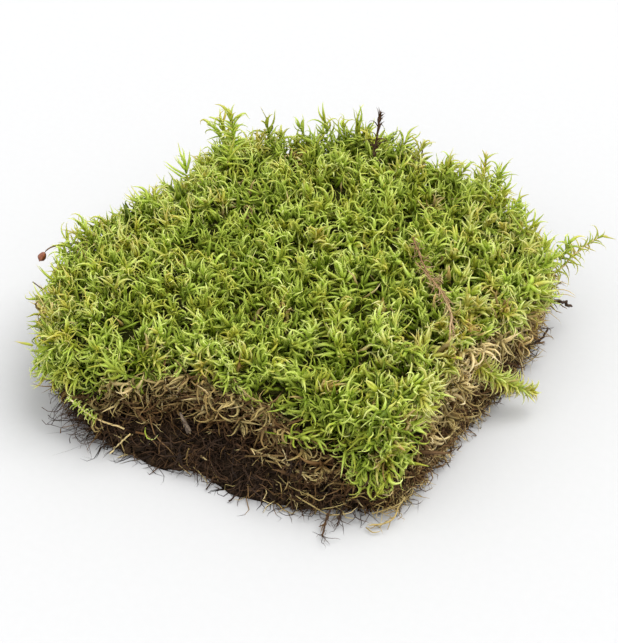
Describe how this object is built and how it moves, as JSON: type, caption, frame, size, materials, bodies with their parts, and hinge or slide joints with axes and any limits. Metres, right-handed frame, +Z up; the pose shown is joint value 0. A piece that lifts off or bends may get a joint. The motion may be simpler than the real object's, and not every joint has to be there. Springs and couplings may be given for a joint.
{
  "type": "moss clump",
  "caption": "Torn-off cushion of living moss on its brown thatch and root-bound dark soil, flat underneath, with loose shoots, roots and a spore capsule.",
  "frame": {"origin": "on the flat underside, below the middle of the whole clump's box", "axes": "+Z up out of the moss, -Y out of the torn side where the dark soil shows, +X out of the other straight side"},
  "size_m": [0.1568, 0.156, 0.0439],
  "materials": {
    "soil": "crumbly dark humus bound by fine roots",
    "dead_moss": "dry curled dead stems and leaves",
    "living_moss": "soft living leaves with pale tips",
    "brown_moss": "dry brown stem",
    "straw": "dry straw",
    "spore_case": "dry, slightly glossy",
    "root": "dark bare root",
    "wood": "weathered splinter"
  },
  "bodies": {
    "root": {"soil_mat": "soil", "brown_thatch": "dead_moss", "green_cushion": "living_moss", "spore_stalk": "brown_moss", "spore_capsule": "spore_case", "tall_shoot": "living_moss", "pale_shoot": "living_moss", "dead_shoot": "brown_moss", "side_runner": "living_moss", "lower_sprig": "living_moss", "fallen_sprig": "living_moss", "dry_strand": "straw", "straw_needle": "straw", "wood_chip": "wood", "forked_root": "root", "hooked_root": "root", "amber_root": "straw", "bent_stick": "root", "thin_twig": "root"}
  },
  "joints": []
}
